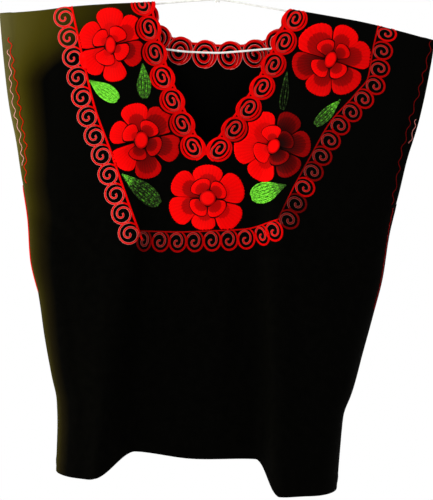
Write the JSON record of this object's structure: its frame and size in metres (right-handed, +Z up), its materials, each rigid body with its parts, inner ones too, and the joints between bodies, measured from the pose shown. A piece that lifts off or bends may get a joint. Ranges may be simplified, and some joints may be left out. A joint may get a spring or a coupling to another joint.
{
  "type": "huipil blouse on a wire hanger",
  "caption": "Black sleeveless huipil blouse with a scalloped, embroidered V neck and yoke of red flowers and green leaves, hanging hollow and open on a thin white wire hanger.",
  "frame": {"origin": "the inner top of the hanger's hook, where a rail carries it", "axes": "+Z up, -Y is the blouse's front, +X towards the right of someone facing the front"},
  "size_m": [0.5667, 0.1602, 0.7395],
  "materials": {
    "black_cloth": "matt woven cotton",
    "red_thread": "satin embroidery thread",
    "green_thread": "satin embroidery thread",
    "white_wire": "smooth white coating"
  },
  "bodies": {
    "root": {"front_yoke_left": "black_cloth", "front_yoke_middle": "black_cloth", "front_yoke_right": "black_cloth", "front_waist_left": "black_cloth", "front_waist_middle": "black_cloth", "front_waist_right": "black_cloth", "front_hem_left": "black_cloth", "front_hem_middle": "black_cloth", "front_hem_right": "black_cloth", "back_yoke_left": "black_cloth", "back_yoke_middle": "black_cloth", "back_yoke_right": "black_cloth", "back_waist_left": "black_cloth", "back_waist_middle": "black_cloth", "back_waist_right": "black_cloth", "back_hem_left": "black_cloth", "back_hem_middle": "black_cloth", "back_hem_right": "black_cloth", "neck_trim_front_left": "red_thread", "neck_trim_front_right": "red_thread", "neck_trim_back": "red_thread", "yoke_border_left": "red_thread", "yoke_border_bottom": "red_thread", "yoke_border_right": "red_thread", "rose_1": "red_thread", "rose_2": "red_thread", "rose_3": "red_thread", "rose_4": "red_thread", "rose_5": "red_thread", "leaf_1": "green_thread", "leaf_2": "green_thread", "leaf_3": "green_thread", "leaf_4": "green_thread", "leaf_5": "green_thread", "leaf_6": "green_thread", "hanger_hook": "white_wire", "hanger_collar": "white_wire", "hanger_arm_left": "white_wire", "hanger_arm_right": "white_wire", "hanger_bar": "white_wire"}
  },
  "joints": []
}
